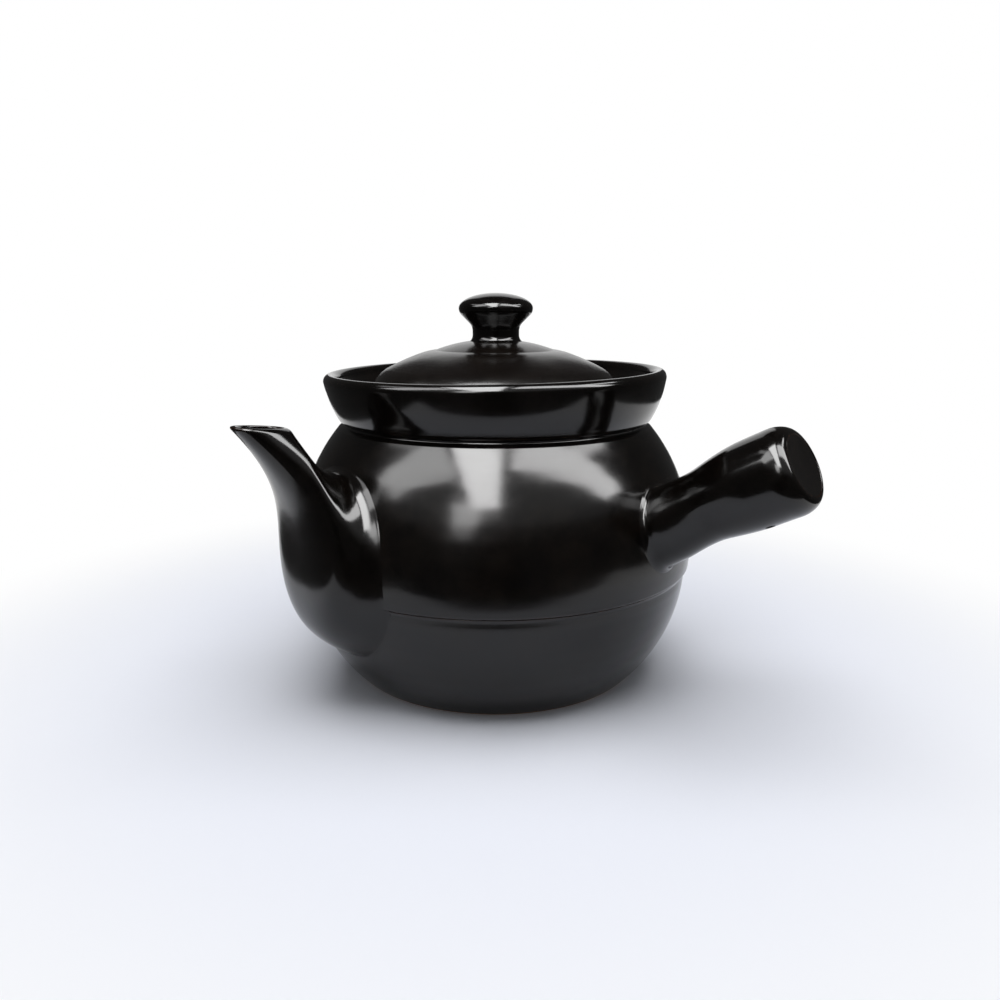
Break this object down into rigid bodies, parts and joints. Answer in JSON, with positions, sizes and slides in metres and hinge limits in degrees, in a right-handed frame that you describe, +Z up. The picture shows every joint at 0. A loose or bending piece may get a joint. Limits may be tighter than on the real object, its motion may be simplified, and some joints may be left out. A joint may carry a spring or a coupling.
{
  "type": "herbal decoction pot",
  "caption": "Round-bellied glazed stoneware decoction pot with a beaked spout, a side handle, a flared collar and a loose domed lid with a mushroom knob.",
  "frame": {"origin": "on the pot's axis, in the plane that it stands on", "axes": "+Z up the pot's axis; -Y is the front, from which the spout points left and the handle right, each swung about 40 degrees forward of the X axis"},
  "size_m": [0.2339, 0.2004, 0.1808],
  "materials": {
    "black_glaze": "glossy black iron glaze, brown where it thins",
    "bare_clay": "matt unglazed stoneware"
  },
  "bodies": {
    "pot": {"lower_bowl": "black_glaze", "upper_shell": "black_glaze", "collar": "black_glaze", "spout": "black_glaze", "handle_tube": "black_glaze", "handle_end": "black_glaze"},
    "lid": {"lid_dome": "black_glaze", "lid_ring": "bare_clay", "lid_knob": "black_glaze"}
  },
  "joints": [
    {"name": "lid_lift", "type": "slide", "parent": "pot", "child": "lid", "axis": [0, 0, 1], "range_m": [0, 0.12]}
  ]
}
